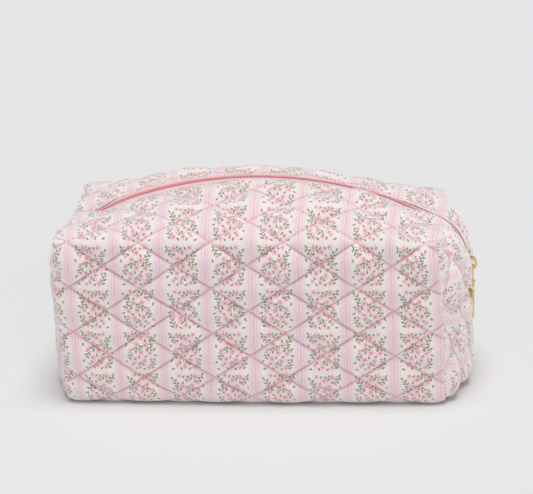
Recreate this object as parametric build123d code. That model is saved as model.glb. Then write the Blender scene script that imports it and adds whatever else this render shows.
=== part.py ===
from build123d import *
import math
import os

os.makedirs("parts", exist_ok=True)

# Quilted cotton makeup bag with a zip over the top.  Millimetres, +Z up, +X to the right,
# +Y to the back.  The origin is the middle of the resting face.

# ---------------------------------------------------------------- driving dimensions
CORNER_X = 118.0      # half length between the vertical corner seams
END_X = 131.0         # half length at the fullest part of the end walls
CORNER_Y = 57.0       # half depth at the corner seams
WALL_Y = 60.0         # half depth in the middle of the front and back walls
FOLD_Z = 104.0        # height where the walls fold over into the top
APEX_Z = 130.0        # height of the zip at mid length
ARCH_R = 250.0        # long arch of the zip, seen from the front
SHOULDER_R = 28.0     # bend of the zip from the top down onto an end wall
FOLD_R = 15.0         # softness of the top folds
BASE_R = 6.0          # softness of the base edges
DOME_RISE = 1.0       # height of the top's crown over the zip's arch, which trims it

COVER_T = 0.8         # printed cotton
WADDING_T = 2.4       # wadding quilted under it
LINING_T = 0.6        # plain cotton lining
LAYER_GAP = 0.1       # air left between neighbouring layers

SEAM_Z = 58.0         # height of the seam across each end wall, where the zip ends
COVER_SLOT_Y = 7.0    # half width of the slot in the cover along the zip
WADDING_SLOT_Y = 14.6
LINING_SLOT_Y = 8.0
MOUTH_X = 92.0        # half length of the top panels that fold open
MOUTH_Y = 50.0        # half depth of the top panels, at their folds
MOUTH_GAP = 1.5       # clearance left around the top panels

TAPE_T = 0.7          # zip tape
TAPE_OUT = 1.8        # depth of the tape below the outer surface
TAPE_Y = (2.2, 14.0)  # each tape's inner and outer edge, from the middle
TAPE_END = 1.0        # height of the tape's ends above the end seams
COIL_OUT = 0.1        # depth of the coil's crown below the outer surface
COIL_T = 2.3
COIL_Y = (0.15, 2.1)

SLIDER_Z = 73.0       # middle of the slider when the bag is zipped up
SLIDER_LENGTH = 14.0
SLIDER_Y = 5.4        # half width at the wide end
SLIDER_NECK_Y = 4.0   # half width at the narrow end
PLATE_T = 1.1
PLATE_OUTER = -1.3    # depth of the outer plate's face below the bag's surface (proud of it)
SLIDER_DEPTH = 5.4    # from the outer plate's face to the inner plate's face
POST_LENGTH = 4.6     # wedge between the plates, where the two coils part
POST_Y = 1.5
FLANGE_T = 0.8
TAPE_THROAT = 1.9     # opening between the flanges that the tape runs through

CROWN_LENGTH = 9.0    # bail on the slider that carries the pull
CROWN_RISE = 4.2
CROWN_WIRE = 1.5
CROWN_Y = 1.1         # half width of the bail

PULL_PROUD = 1.4      # distance from the slider's outer face to the hanging pull's middle
PULL_DROP = 1.8       # depth of the link's upper rung below the slider's middle
LINK_WIRE_R = 0.6
LINK_RUNG_Y = 2.8     # half width of the link, to the middle of its side wires
LINK_LENGTH = 10.5    # between the middles of the link's two rungs
BAR_LENGTH = 24.0
BAR_Y = 2.9
BAR_T = 1.5
BAR_CORNER = 1.2
KNUCKLE_R = 1.45      # rolled eye at the bar's upper end, round the link's lower rung
KNUCKLE_Y = 1.9
KNUCKLE_CLEAR = 0.06
BAR_SLOT = 11.0       # length of the long slot down the bar
BAR_SLOT_Y = 0.9
BAR_SLOT_DROP = 5.0   # top of that slot below the knuckle's middle

BINDING_DEPTH = 7.0   # tape folded over the raw seam edges inside
BINDING_T = 2.0
BINDING_CLEAR = 0.4
END_BINDING_MARGIN = 16.0   # from each end of the end binding to the corner seams
END_BINDING_DROP = 5.0      # depth of the end bindings below the ends of the zip
CORNER_BINDING_DROP = 6.0   # from the top of each corner binding to the fold's softness

REACH = 400.0         # longer than the bag in every direction, for cutting tools


# ---------------------------------------------------------------- the zip's line
def shoulder_centre():
    """Centre (x, z) of the right shoulder's bend, tangent to the arch and the end wall."""
    x = END_X - SHOULDER_R
    z = APEX_Z - ARCH_R + math.sqrt((ARCH_R - SHOULDER_R) ** 2 - x ** 2)
    return x, z


def side_outline(inset):
    """The bag seen from the front: arch, shoulders, end walls and base, moved in by inset."""
    centre_x, centre_z = shoulder_centre()
    lean = math.asin(centre_x / (ARCH_R - SHOULDER_R))
    bend = SHOULDER_R - inset
    half = lean + (math.pi / 2 - lean) / 2
    wall = END_X - inset
    apex = (0, APEX_Z - inset)
    start = (centre_x + bend * math.sin(lean), centre_z + bend * math.cos(lean))
    middle = (centre_x + bend * math.sin(half), centre_z + bend * math.cos(half))
    end = (wall, centre_z)

    def mirrored(point):
        return (-point[0], point[1])

    with BuildSketch(Plane.XZ) as sketch:
        with BuildLine():
            ThreePointArc(mirrored(start), apex, start)
            ThreePointArc(start, middle, end)
            Line(end, (wall, inset))
            Line((wall, inset), (-wall, inset))
            Line((-wall, inset), mirrored(end))
            ThreePointArc(mirrored(end), mirrored(middle), mirrored(start))
        make_face()
        fillet(sketch.vertices().sort_by(Axis.Y)[:2], BASE_R - min(inset, BASE_R - 1))
    return sketch.sketch


def end_outline(inset):
    """The bag seen from an end: upright walls, soft folds and a domed top."""
    wall = WALL_Y - inset
    fold = FOLD_Z - inset
    with BuildSketch(Plane.YZ) as sketch:
        with BuildLine():
            Line((-wall, fold), (-wall, inset))
            Line((-wall, inset), (wall, inset))
            Line((wall, inset), (wall, fold))
            ThreePointArc((wall, fold), (0, APEX_Z + DOME_RISE - inset), (-wall, fold))
        make_face()
        fillet(sketch.vertices().sort_by(Axis.Y)[:2], BASE_R - min(inset, BASE_R - 1))
        fillet(sketch.vertices().sort_by(Axis.Y)[-2:], FOLD_R - inset)
    return sketch.sketch


def plan_outline(inset):
    """The bag seen from above: four bowed walls that meet at the corner seams."""
    x = CORNER_X - inset
    y = CORNER_Y - inset
    with BuildSketch(Plane.XY) as sketch:
        with BuildLine():
            ThreePointArc((-x, -y), (0, inset - WALL_Y), (x, -y))
            ThreePointArc((x, -y), (END_X - inset, 0), (x, y))
            ThreePointArc((x, y), (0, WALL_Y - inset), (-x, y))
            ThreePointArc((-x, y), (inset - END_X, 0), (-x, -y))
        make_face()
    return sketch.sketch


def bag_solid(inset):
    """The whole bag as one solid, with every face moved in by inset."""
    from_front = extrude(side_outline(inset), REACH / 2, both=True)
    from_end = extrude(end_outline(inset), REACH / 2, both=True)
    from_above = extrude(plan_outline(inset), REACH)
    return from_above & from_front & from_end


def block(x_range, y_range, z_range):
    """A box between three pairs of limits."""
    size = [high - low for low, high in (x_range, y_range, z_range)]
    middle = [(high + low) / 2 for low, high in (x_range, y_range, z_range)]
    return Pos(*middle) * Box(*size)


def shell(depth, thickness):
    """One layer of the sewn sheet, at a depth below the outer surface."""
    return bag_solid(depth) - bag_solid(depth + thickness)


# ---------------------------------------------------------------- the sewn sheet
def body_layer(layer, slot_y):
    """The walls, base and ends of a layer, open where the zip and the top panels are."""
    slot = block((-REACH, REACH), (-slot_y, slot_y), (SEAM_Z, REACH))
    mouth_x = MOUTH_X + MOUTH_GAP
    mouth_y = MOUTH_Y + MOUTH_GAP
    mouth = block((-mouth_x, mouth_x), (-mouth_y, mouth_y), (SEAM_Z, REACH))
    return layer - slot - mouth


def top_panel(layer, slot_y, side):
    """A layer of the front (side -1) or back (side 1) top panel, from its fold to the zip."""
    low, high = sorted((side * slot_y, side * MOUTH_Y))
    return layer & block((-MOUTH_X, MOUTH_X), (low, high), (SEAM_Z, REACH))


# ---------------------------------------------------------------- zip
def zip_strip(depth, thickness, y_range, side):
    """A strip that follows the zip from end seam to end seam."""
    band = side_outline(depth) - side_outline(depth + thickness)
    low, high = sorted((side * y_range[0], side * y_range[1]))
    strip = extrude(band, REACH / 2, both=True)
    return strip & block((-REACH, REACH), (low, high), (SEAM_Z + TAPE_END, REACH))


def coil(side):
    """One row of zip coil, which stops inside the closed slider."""
    row = zip_strip(COIL_OUT, COIL_T, COIL_Y, side)
    return row - block((0, REACH), (-REACH, REACH), (0, SLIDER_Z + 1.0))


# ---------------------------------------------------------------- slider and pull
# They are drawn where they hang on the right end wall when the bag is zipped up.
def plate(depth):
    """A slider plate, wide at the lower end where the open coils enter."""
    low = SLIDER_Z - SLIDER_LENGTH / 2
    high = SLIDER_Z + SLIDER_LENGTH / 2
    waist = SLIDER_Z + 1.0
    with BuildSketch(Plane.YZ.offset(END_X - depth - PLATE_T)) as sketch:
        with BuildLine():
            Polyline(
                (-SLIDER_Y + 1, low),
                (SLIDER_Y - 1, low),
                (SLIDER_Y, low + 2),
                (SLIDER_NECK_Y, waist),
                (SLIDER_NECK_Y, high),
                (-SLIDER_NECK_Y, high),
                (-SLIDER_NECK_Y, waist),
                (-SLIDER_Y, low + 2),
                (-SLIDER_Y + 1, low),
                close=True,
            )
        make_face()
        fillet(sketch.vertices(), 0.45)
    return extrude(sketch.sketch, PLATE_T)


def slider_body():
    """Two plates joined by the wedge, with flanges that keep the coils in."""
    inner = PLATE_OUTER + SLIDER_DEPTH - PLATE_T
    body = plate(PLATE_OUTER) + plate(inner)
    low = SLIDER_Z - SLIDER_LENGTH / 2
    outer_x = END_X - PLATE_OUTER - PLATE_T / 2
    inner_x = END_X - inner - PLATE_T / 2
    body += block((inner_x, outer_x), (-POST_Y, POST_Y), (low + 0.4, low + POST_LENGTH))
    throat_middle = END_X - TAPE_OUT - TAPE_T / 2
    throat = (throat_middle - TAPE_THROAT / 2, throat_middle + TAPE_THROAT / 2)
    for side in (-1, 1):
        edge = sorted((side * SLIDER_NECK_Y, side * (SLIDER_NECK_Y - FLANGE_T)))
        flange_z = (SLIDER_Z + 1.6, SLIDER_Z + SLIDER_LENGTH / 2 - 0.5)
        body += block((throat[1], outer_x), edge, flange_z)
        body += block((inner_x, throat[0]), edge, flange_z)
    return body


def slider_crown():
    """The bail: a flattened arch of wire on the outer plate."""
    foot_x = END_X - PLATE_OUTER + 0.02
    half = CROWN_LENGTH / 2
    with BuildSketch(Plane.XZ) as sketch:
        with Locations((foot_x, SLIDER_Z)):
            Ellipse(CROWN_RISE, half)
            Ellipse(CROWN_RISE - CROWN_WIRE, half - CROWN_WIRE, mode=Mode.SUBTRACT)
        with Locations((foot_x - REACH / 2, SLIDER_Z)):
            Rectangle(REACH, REACH, mode=Mode.SUBTRACT)
    return extrude(sketch.sketch, CROWN_Y, both=True)


def pull_x():
    """Distance of the hanging pull's middle plane from the bag's middle."""
    return END_X - PLATE_OUTER + PULL_PROUD


def wire(start, end):
    """A straight round wire with rounded ends."""
    span = Vector(end) - Vector(start)
    rod = Solid.make_cylinder(LINK_WIRE_R, span.length, Plane(start, z_dir=span))
    tips = Pos(*start) * Sphere(LINK_WIRE_R) + Pos(*end) * Sphere(LINK_WIRE_R)
    return rod + tips


def pull_link():
    """Stirrup of round wire: the bail passes over its upper rung, the bar hangs on its lower."""
    x = pull_x()
    top = SLIDER_Z - PULL_DROP
    low = top - LINK_LENGTH
    corners = [
        (x, -LINK_RUNG_Y, top),
        (x, LINK_RUNG_Y, top),
        (x, LINK_RUNG_Y, low),
        (x, -LINK_RUNG_Y, low),
    ]
    link = wire(corners[-1], corners[0])
    for start, end in zip(corners, corners[1:]):
        link += wire(start, end)
    return link


def upright_plate(half_width, low, high, thickness, corner):
    """A rounded plate that hangs flat beside the end wall."""
    with BuildSketch(Plane.YZ.offset(pull_x() - thickness / 2)) as sketch:
        with Locations((0, (low + high) / 2)):
            RectangleRounded(2 * half_width, high - low, corner)
    return extrude(sketch.sketch, thickness)


def pull_bar():
    """Long flat bar with a rolled eye for the link's rung and a slot down its length."""
    pivot = SLIDER_Z - PULL_DROP - LINK_LENGTH
    low = pivot + KNUCKLE_R - BAR_LENGTH
    bar = upright_plate(BAR_Y, low, pivot - KNUCKLE_R - 1, BAR_T, BAR_CORNER)
    bar += upright_plate(KNUCKLE_Y, pivot - 2 * BAR_CORNER - KNUCKLE_R - 1, pivot, BAR_T, BAR_CORNER / 2)
    along = Pos(pull_x(), 0, pivot) * Rot(90, 0, 0)
    bar += along * Cylinder(KNUCKLE_R, 2 * KNUCKLE_Y)
    slot_top = pivot - BAR_SLOT_DROP
    slot = upright_plate(BAR_SLOT_Y, slot_top - BAR_SLOT, slot_top, 2 * BAR_T, BAR_SLOT_Y - 0.1)
    return bar - along * Cylinder(LINK_WIRE_R + KNUCKLE_CLEAR, REACH) - slot


# ---------------------------------------------------------------- seam bindings inside
def corner_binding(side_x, side_y):
    """Folded tape over the raw edges of one corner seam, pointing into the bag."""
    depth = COVER_T + WADDING_T + LINING_T + 2 * LAYER_GAP + BINDING_CLEAR
    x = side_x * (CORNER_X - depth - 1.5)
    y = side_y * (CORNER_Y - depth - 1.5)
    turn = math.degrees(math.atan2(-side_y, -side_x))
    low = BASE_R + 2
    high = FOLD_Z - FOLD_R - CORNER_BINDING_DROP
    strip = Pos(BINDING_DEPTH / 2, 0, (low + high) / 2) * Box(BINDING_DEPTH, BINDING_T, high - low)
    return Pos(x, y, 0) * Rot(0, 0, turn) * strip


def end_binding(side):
    """Folded tape over the raw edges of the seam across one end wall."""
    depth = COVER_T + WADDING_T + LINING_T + 2 * LAYER_GAP + 3 * BINDING_CLEAR
    half_y = CORNER_Y - END_BINDING_MARGIN
    sag = END_X - CORNER_X
    bow = (sag ** 2 + CORNER_Y ** 2) / (2 * sag)
    wall = END_X - depth
    inner = wall - bow + math.sqrt(bow ** 2 - half_y ** 2)
    top = SEAM_Z - END_BINDING_DROP
    x_range = sorted((side * inner, side * (inner - BINDING_DEPTH)))
    return block(x_range, (-half_y, half_y), (top - BINDING_T, top))


# ---------------------------------------------------------------- write every piece
wadding_depth = COVER_T + LAYER_GAP
lining_depth = wadding_depth + WADDING_T + LAYER_GAP
layers = {
    "cover": (shell(0, COVER_T), COVER_SLOT_Y),
    "wadding": (shell(wadding_depth, WADDING_T), WADDING_SLOT_Y),
    "lining": (shell(lining_depth, LINING_T), LINING_SLOT_Y),
}

pieces = {}
for layer_name, (layer, slot_y) in layers.items():
    pieces["body_" + layer_name] = body_layer(layer, slot_y)
    pieces["front_top_" + layer_name] = top_panel(layer, slot_y, -1)
    pieces["back_top_" + layer_name] = top_panel(layer, slot_y, 1)

for side, side_name in ((-1, "front"), (1, "back")):
    pieces[side_name + "_zip_tape"] = zip_strip(TAPE_OUT, TAPE_T, TAPE_Y, side)
    pieces[side_name + "_zip_coil"] = coil(side)

corners = [corner_binding(side_x, side_y) for side_x in (-1, 1) for side_y in (-1, 1)]
pieces["corner_seam_bindings"] = Compound(children=corners)
pieces["left_end_seam_binding"] = end_binding(-1)
pieces["right_end_seam_binding"] = end_binding(1)
pieces["slider_body"] = slider_body()
pieces["slider_crown"] = slider_crown()
pieces["pull_link"] = pull_link()
pieces["pull_bar"] = pull_bar()

for name, piece in pieces.items():
    piece.label = name
    export_step(piece, "parts/" + name + ".step")
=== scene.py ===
import math

import bpy
import numpy as np
from mathutils import Matrix, Vector


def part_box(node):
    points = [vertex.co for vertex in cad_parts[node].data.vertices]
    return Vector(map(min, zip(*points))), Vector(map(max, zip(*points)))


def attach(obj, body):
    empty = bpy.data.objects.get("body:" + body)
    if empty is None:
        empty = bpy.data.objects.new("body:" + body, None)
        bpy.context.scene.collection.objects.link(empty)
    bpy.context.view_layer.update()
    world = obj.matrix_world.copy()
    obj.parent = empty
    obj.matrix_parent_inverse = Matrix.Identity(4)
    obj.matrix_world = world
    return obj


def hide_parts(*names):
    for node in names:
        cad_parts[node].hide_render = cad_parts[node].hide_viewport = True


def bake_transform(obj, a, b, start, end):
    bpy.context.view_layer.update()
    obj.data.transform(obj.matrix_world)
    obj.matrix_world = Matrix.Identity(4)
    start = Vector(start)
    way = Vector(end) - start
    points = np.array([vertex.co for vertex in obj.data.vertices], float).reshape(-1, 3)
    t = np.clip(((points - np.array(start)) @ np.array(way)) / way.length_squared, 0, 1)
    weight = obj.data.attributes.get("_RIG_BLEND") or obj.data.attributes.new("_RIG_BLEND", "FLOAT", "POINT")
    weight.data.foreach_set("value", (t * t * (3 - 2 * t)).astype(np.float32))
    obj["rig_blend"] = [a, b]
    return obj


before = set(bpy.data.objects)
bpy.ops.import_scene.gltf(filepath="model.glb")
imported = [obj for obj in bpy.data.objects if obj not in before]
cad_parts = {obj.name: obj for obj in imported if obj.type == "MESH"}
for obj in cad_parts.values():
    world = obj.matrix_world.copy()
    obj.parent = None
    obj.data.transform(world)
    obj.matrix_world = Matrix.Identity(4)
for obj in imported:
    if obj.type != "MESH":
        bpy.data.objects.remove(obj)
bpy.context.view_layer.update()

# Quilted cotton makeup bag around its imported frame.  Lengths are in millimetres until a mesh
# is written; MM turns them into Blender's metres.  +X is the slider's end, -Y the front.
MM = 0.001

# -------- sizes from the frame
END_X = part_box("body_cover")[1][0] / MM          # zip line on the end walls
APEX_Z = 130.0                                   # zip line at mid length
CORNER_X = END_X - 13.0                          # corner seams
CORNER_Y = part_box("body_cover")[1][1] / MM - 3.0
WALL_BOW = 3.0                                   # fullness of the front and back walls
FOLD_Z = 104.0                                   # folds between the walls and the top
ARCH_R = 250.0                                   # the zip's arch and its bend at the ends
SHOULDER_R = 28.0
SEAM_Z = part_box("front_zip_tape")[0][2] / MM - 1.0

# -------- cloth
INSET = 0.6             # quilting lines, below the frame's outer surface
SLOT_Y = 6.6            # half width of the gap in the cover along the zip
HEM_R = 0.7             # the cover turns down to the zip tape with this radius
COVER_T = 0.7
LINING_DEPTH = 3.0
LINING_T = 0.6
PUFF = 3.8              # height of a quilted puff
FAR_END_FULL = 0.5      # share of it on the end wall away from the slider
DIAMOND_U = 44.0        # quilting diamonds, along and across the cloth
DIAMOND_V = 28.5
CROSSING_U = 0.5        # where two quilting lines cross on the front wall
CROSSING_V = 41.5
STRIPE_PITCH = 28.0     # printed stripes, and where one of them is
STRIPE_AT = 3.7
REPEAT_V = 53.5         # the print repeats after this length of cloth

# -------- how the mouth opens
MOUTH_OPEN_X = (4.0, 34.0)      # fully open between these places along the bag
MOUTH_SHUT_X = (-66.0, 108.0)   # shut beyond these; the open zip's slider and pull rest there
HINGE_START = 4.0       # the top starts to turn this far above the fold
HINGE_END = 24.0


# ======== small helpers
def smooth(x, low, high):
    """0 at low, 1 at high, with a soft start and end."""
    t = np.clip((np.asarray(x, float) - low) / (high - low), 0, 1)
    return t * t * (3 - 2 * t)


def unit(v):
    return v / np.maximum(np.linalg.norm(v, axis=-1, keepdims=True), 1e-12)


def new_object(name, points, faces, is_smooth=True):
    """A mesh object from points in millimetres and faces of any size."""
    faces = faces.tolist() if isinstance(faces, np.ndarray) else faces
    mesh = bpy.data.meshes.new(name)
    mesh.from_pydata((np.asarray(points) * MM).tolist(), [], faces)
    mesh.polygons.foreach_set("use_smooth", [is_smooth] * len(mesh.polygons))
    mesh.update()
    obj = bpy.data.objects.new(name, mesh)
    bpy.context.scene.collection.objects.link(obj)
    return obj


def face_corners(mesh):
    """The vertex at each corner of each face."""
    corners = np.zeros(len(mesh.loops), int)
    mesh.loops.foreach_get("vertex_index", corners)
    return corners


def mesh_points(obj):
    """The vertices of a mesh object in millimetres."""
    points = np.zeros(len(obj.data.vertices) * 3)
    obj.data.vertices.foreach_get("co", points)
    return points.reshape(-1, 3) / MM


def set_cloth(obj, uv):
    """Writes cloth coordinates in millimetres, one per face corner."""
    layer = obj.data.uv_layers.new(name="cloth")
    layer.data.foreach_set("uv", (np.asarray(uv) * MM).astype(np.float32).ravel())


def ring_faces(rows, sides, is_flipped=False):
    """Faces of a tube whose points go round it row by row, with its two ends."""
    ids = np.arange(rows * sides).reshape(rows, sides)
    quads = grid_quads(np.concatenate([ids, ids[:, :1]], 1))[:, ::-1].tolist()
    faces = quads + [ids[0].tolist(), ids[-1, ::-1].tolist()]
    return [face[::-1] for face in faces] if is_flipped else faces


def ring_object(name, rings, cloth, is_flipped=False, is_smooth=True):
    """A closed tube from rings of points, with cloth coordinates at each of them."""
    faces = ring_faces(*rings.shape[:2], is_flipped)
    obj = new_object(name, rings.reshape(-1, 3), faces, is_smooth)
    set_cloth(obj, cloth.reshape(-1, 2)[face_corners(obj.data)])
    return obj


def vertex_normals(points, quads):
    """Unit normals of a quad mesh, averaged at its vertices."""
    p = points[quads]
    face = np.cross(p[:, 2] - p[:, 0], p[:, 3] - p[:, 1])
    total = np.zeros_like(points)
    for corner in range(4):
        np.add.at(total, quads[:, corner], face)
    return unit(total)


def aligned(origin, step, low, high):
    """low, then the multiples of step from origin that lie well inside, then high."""
    first = math.ceil((low - origin) / step + 0.35)
    last = math.floor((high - origin) / step - 0.35)
    return np.concatenate([[low], origin + step * np.arange(first, last + 1), [high]])


def grid_quads(ids):
    """Quads of a 2-D array of vertex numbers."""
    quads = np.stack([ids[:-1, :-1], ids[1:, :-1], ids[1:, 1:], ids[:-1, 1:]], -1)
    return quads.reshape(-1, 4)


# ======== line of the zip
SHOULDER_X = END_X - SHOULDER_R
SHOULDER_Z = APEX_Z - ARCH_R + math.sqrt((ARCH_R - SHOULDER_R) ** 2 - SHOULDER_X ** 2)
LEAN = math.asin(SHOULDER_X / (ARCH_R - SHOULDER_R))
ARCH_S = ARCH_R * LEAN                           # from the apex to a shoulder
BEND_S = SHOULDER_R * (math.pi / 2 - LEAN)
ZIP_S = ARCH_S + BEND_S + SHOULDER_Z - SEAM_Z    # from the apex to an end seam


def zip_line(s):
    """Points (x, z) and outward normals of the zip line, s along it from the apex."""
    side = np.where(np.asarray(s) < 0, -1.0, 1.0)
    s = np.abs(s)
    on_arch = s <= ARCH_S
    on_bend = LEAN + np.clip(s - ARCH_S, 0, BEND_S) / SHOULDER_R
    angle = np.where(on_arch, s / ARCH_R, on_bend)
    down = np.maximum(s - ARCH_S - BEND_S, 0)
    x = np.where(on_arch, ARCH_R * np.sin(angle), SHOULDER_X + SHOULDER_R * np.sin(angle))
    z_arch = APEX_Z - ARCH_R + ARCH_R * np.cos(angle)
    z = np.where(on_arch, z_arch, SHOULDER_Z + SHOULDER_R * np.cos(angle) - down)
    normal = np.stack([side * np.sin(angle), np.cos(angle)], -1)
    return np.stack([side * x, z], -1), normal


def settle(points):
    """Soft leans of a stuffed bag, the same for everything sewn to it.

    The ears at the slider's end fall in, the foot of the far end draws in, the back's ears
    stand higher, the base's edges curl up and the zip turns towards the front along the far
    half of its arch.
    """
    p = np.array(points, float)
    x, y, z = np.moveaxis(p, -1, 0).copy()
    aside = smooth(np.abs(y), 18, 52)
    high = smooth(z, 50, 104)
    p[..., 0] -= 4.0 * smooth(z, 50, 108) * smooth(x, 70, 120) * aside
    p[..., 0] += 3.0 * smooth(-z, -90, 0) * smooth(-x, 60, 120) * aside
    p[..., 2] -= 2.0 * smooth(x, 60, 118) * high * aside
    p[..., 0] += 2.5 * smooth(-x, 116, 127)
    p[..., 2] += (5.0 * smooth(-x, 50, 112) + 2.0 * smooth(x, 50, 112)) * high * smooth(y, 18, 52)
    edge = np.maximum(smooth(np.abs(y), 44, 57), smooth(np.abs(x), 106, 118))
    p[..., 2] += 2.0 * edge * (1 - smooth(z, 1, 16))
    turn = 0.24 * smooth(-x, -10, 60) * (1 - smooth(-x, 89, 101))
    turn -= 0.10 * smooth(x, 10, 60) * (1 - smooth(x, 80, 104))
    p[..., 2] += turn * y * np.exp(-(y / 26.0) ** 2) * high
    return p


# ======== the sewn sheet
class Sheet:
    """Both halves of the quilted sheet as one quad mesh at the level of its quilting lines.

    The front half is a strip that runs round the girth (gap edge, top, fold, wall, base) and
    a panel on each end wall; the back half mirrors it.  steps counts the vertices along a
    side of a quilting diamond, so that its lines run from vertex to vertex; across counts
    them over half the top, and under half the base.
    """

    def __init__(self, steps, across):
        self.across = across
        self.fold = across - 1
        self.u = aligned(CROSSING_U, DIAMOND_U / steps, -CORNER_X, CORNER_X)
        self.c = self.u / CORNER_X
        self.v, self.girth = self.half_girth(DIAMOND_V / steps)
        self.foot = self.girth.shape[1] - across
        self.down = self.foot - self.fold + 1
        self.middle_v = float(self.v[len(self.u) // 2, -1])
        self.build_front()
        self.mirror()
        self.points = settle(self.points)
        self.normals = vertex_normals(self.points, self.quads)
        self.points = self.points - self.normals * INSET

    def half_girth(self, step):
        """Lengths of cloth and points of the girth's front half, station by station."""
        c = self.c[:, None]
        many = 160
        line, _ = zip_line(c * ARCH_S)
        zip_x, zip_z = line[..., 0], line[..., 1]
        seam_x = c * CORNER_X
        wall_y = CORNER_Y + WALL_BOW * (1 - c ** 2)
        t = np.linspace(0, 1, many)[None]
        rise = np.cos(t * math.pi / 2) ** 0.9
        crown = 2.0 * np.sin(math.pi * t) * c ** 2
        across = SLOT_Y + (wall_y - SLOT_Y) * t
        top = (zip_x + (seam_x - zip_x) * t, -across, FOLD_Z + (zip_z - FOLD_Z) * rise + crown)
        wall = (seam_x, -wall_y - 1.6 * np.sin(math.pi * t), FOLD_Z * (1 - t) + 0 * c)
        base = (seam_x, -wall_y * (1 - t), 0 * t * c)
        parts = [np.stack(np.broadcast_arrays(*part), -1) for part in (top, wall, base)]
        points = np.concatenate([parts[0], parts[1][:, 1:], parts[2][:, 1:]], 1)
        self.soften(points, many, c)
        length = np.cumsum(np.linalg.norm(np.diff(points, axis=1), axis=2), 1)
        length = np.concatenate([np.zeros((len(c), 1)), length], 1)
        v = length - length[:, many - 1:many]
        foot = v[:, 2 * many - 2]
        rows = aligned(CROSSING_V, step, 0.0, float(foot.min()))
        places, girth = [], []
        for i in range(len(c)):
            over = np.linspace(v[i, 0], 0, self.across)
            under = np.linspace(foot[i], v[i, -1], self.across)
            places.append(np.concatenate([over, rows[1:-1], under]))
            girth.append([np.interp(places[-1], v[i], points[i, :, axis]) for axis in range(3)])
        return np.array(places), np.moveaxis(np.array(girth), 1, 2)

    @staticmethod
    def soften(points, many, c):
        """Rounds the fold, less towards the corner ears, and the base edge."""
        place = np.arange(points.shape[1])
        fold = np.exp(-((place - many + 1) / (0.18 * many)) ** 2) * (0.06 + 0.94 * (1 - c ** 4))
        edge = 0.5 * np.exp(-((place - 2 * many + 2) / (0.05 * many)) ** 2)
        strength = (fold + edge)[..., None].clip(0, 1)
        for _ in range(many):
            middle = (points[:, :-2] + points[:, 2:]) / 2
            points[:, 1:-1] += 0.8 * strength[:, 1:-1] * (middle - points[:, 1:-1])

    def end_panel(self, side):
        """Front half of an end wall: rows go down, columns from the corner seam inwards."""
        girth = self.girth[-1 if side > 0 else 0]
        seam = girth[self.fold:self.foot + 1]
        top = girth[self.fold::-1]
        base = girth[self.foot:]
        drop = self.v[0, self.fold:self.foot + 1] / self.v[0, self.foot]
        line, _ = zip_line(side * (ARCH_S + drop * (BEND_S + SHOULDER_Z)))
        gap = SLOT_Y * smooth(line[:, 1], SEAM_Z - 1, SEAM_Z + 7)
        curl = np.clip(1 - line[:, 1] / 9.0, 0, 1)
        foot_x = base[-1, 0]
        x = foot_x + (line[:, 0] - foot_x) * np.sqrt(1 - curl ** 2)
        middle = np.stack([x, -gap, line[:, 1]], -1)
        middle[-1] = base[-1]
        a = np.linspace(0, 1, self.across)[None, :]
        bulge = 1 - (1 - a) ** 2
        a = np.stack([bulge, a, bulge], -1)
        b = drop[:, None, None]
        sides = seam[:, None] * (1 - a) + middle[:, None] * a
        edges = top[None] * (1 - b) + base[None] * b
        upper = seam[0] * (1 - a) + top[-1] * a
        lower = seam[-1] * (1 - a) + base[-1] * a
        return sides + edges - upper * (1 - b) - lower * b, line[:, 1]

    def build_front(self):
        """Vertices, quads and cloth coordinates of the front half."""
        along, rows = self.v.shape
        ids = np.arange(along * rows).reshape(along, rows)
        points = [self.girth.reshape(-1, 3)]
        u = np.broadcast_to(self.c[:, None] * CORNER_X, self.v.shape)
        cloth = [np.stack([u, self.v], -1).reshape(-1, 2)]
        quads = [grid_quads(ids)[:, ::-1]]
        corners = [cloth[0][quads[0]]]
        pinch = [self.girth_pinch().reshape(-1)]
        count = ids.size
        rim, near = {}, {}
        self.patches = [(self.u, self.v, ids, False)]
        for side in (-1, 1):
            panel, level = self.end_panel(side)
            column = ids[-1 if side > 0 else 0]
            panel_ids = np.zeros((self.down, self.across), int)
            panel_ids[1:-1, 1:] = count + np.arange((self.down - 2) * (self.across - 1)).reshape(
                self.down - 2, self.across - 1)
            panel_ids[0] = column[self.fold::-1]
            panel_ids[:, 0] = column[self.fold:self.foot + 1]
            panel_ids[-1] = column[self.foot:]
            count += (self.down - 2) * (self.across - 1)
            points.append(panel[1:-1, 1:].reshape(-1, 3))
            upper, lower, seam_row = self.end_cloth(panel, level, side)
            place = np.arange(self.down)[:, None]
            used = np.where((place < seam_row)[..., None], upper, lower)
            cloth.append(used[1:-1, 1:].reshape(-1, 2))
            full = 1.0 if side > 0 else FAR_END_FULL
            pinch.append(full * self.end_pinch(panel, level)[1:-1, 1:].reshape(-1))
            panel_quads = grid_quads(panel_ids)
            flat = grid_quads(np.arange(panel_ids.size).reshape(panel_ids.shape))
            row = flat[:, 0] // self.across
            above = (row < seam_row)[:, None, None]
            corner = np.where(above, upper.reshape(-1, 2)[flat], lower.reshape(-1, 2)[flat])
            if side < 0:
                panel_quads, corner = panel_quads[:, ::-1], corner[:, ::-1]
            quads.append(panel_quads)
            corners.append(corner)
            rim[side] = panel_ids[1:seam_row + 1, -1]
            near[side] = panel_ids[1:seam_row + 1, -3]
            for uv, part in ((upper, slice(0, seam_row + 1)), (lower, slice(seam_row, None))):
                over = np.argsort(uv[0, :, 1])
                grid = np.ix_(np.argsort(uv[part, 0, 0]), over)
                along_u, patch_ids = uv[part, :, 0][grid].T, panel_ids[part][grid].T
                self.patches.append((uv[0, over, 1], along_u, patch_ids, True))
        self.points = np.concatenate(points)
        self.cloth = np.concatenate(cloth)
        self.quads = np.concatenate(quads)
        self.corners = np.concatenate(corners)
        self.pinch = np.concatenate(pinch)
        self.rim = np.concatenate([rim[-1][::-1], ids[:, 0], rim[1]])
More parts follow.
